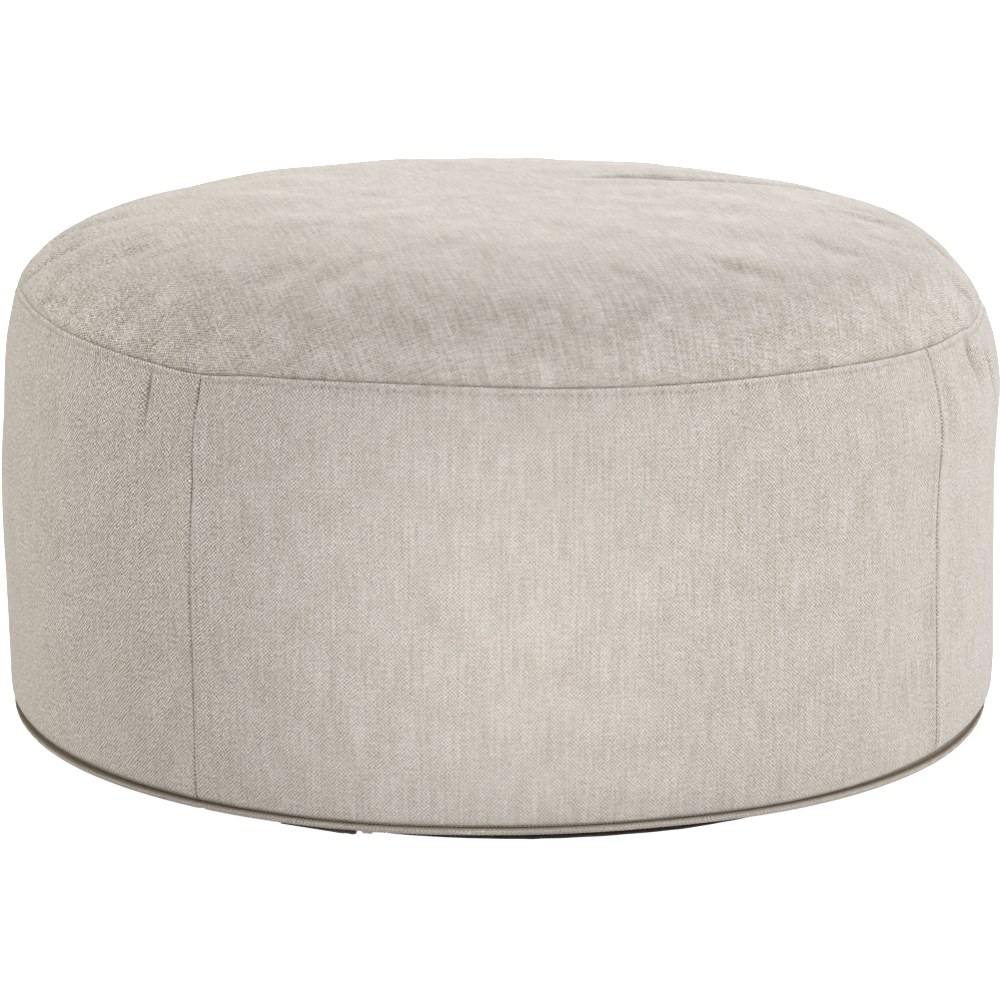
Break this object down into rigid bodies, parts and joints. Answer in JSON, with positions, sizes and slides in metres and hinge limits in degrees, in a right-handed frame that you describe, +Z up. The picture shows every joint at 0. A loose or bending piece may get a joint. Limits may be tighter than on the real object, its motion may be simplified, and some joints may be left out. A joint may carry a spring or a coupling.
{
  "type": "round upholstered pouf stool",
  "caption": "Low round upholstered pouf stool with a soft crowned top, a panelled fabric side, a piped foot and a flat base.",
  "frame": {"origin": "middle of the flat base, on the surface it stands on", "axes": "+Z up; -Y is the front, where the zip end shows; +X to the right seen from the front"},
  "size_m": [0.6031, 0.6004, 0.3118],
  "materials": {
    "crown_cloth": "soft greige chenille weave, streaked, slight nap sheen",
    "band_cloth": "soft greige chenille weave with upright streaks",
    "piping_cloth": "the same greige weave, wound over a cord",
    "base_cloth": "dark brown plain woven base cloth, matt",
    "zip_coil": "olive-grey nylon coil",
    "zip_slider": "dark brown painted metal",
    "zip_tab_cloth": "greige cover cloth folded over the zip's end"
  },
  "bodies": {
    "root": {"filled_body": "crown_cloth", "band_panel_front": "band_cloth", "band_panel_right": "band_cloth", "band_panel_back": "band_cloth", "band_panel_left": "band_cloth", "piping": "piping_cloth", "base_panel": "base_cloth", "zip_coil": "zip_coil", "zip_slider": "zip_slider", "zip_end_tab": "zip_tab_cloth"}
  },
  "joints": []
}
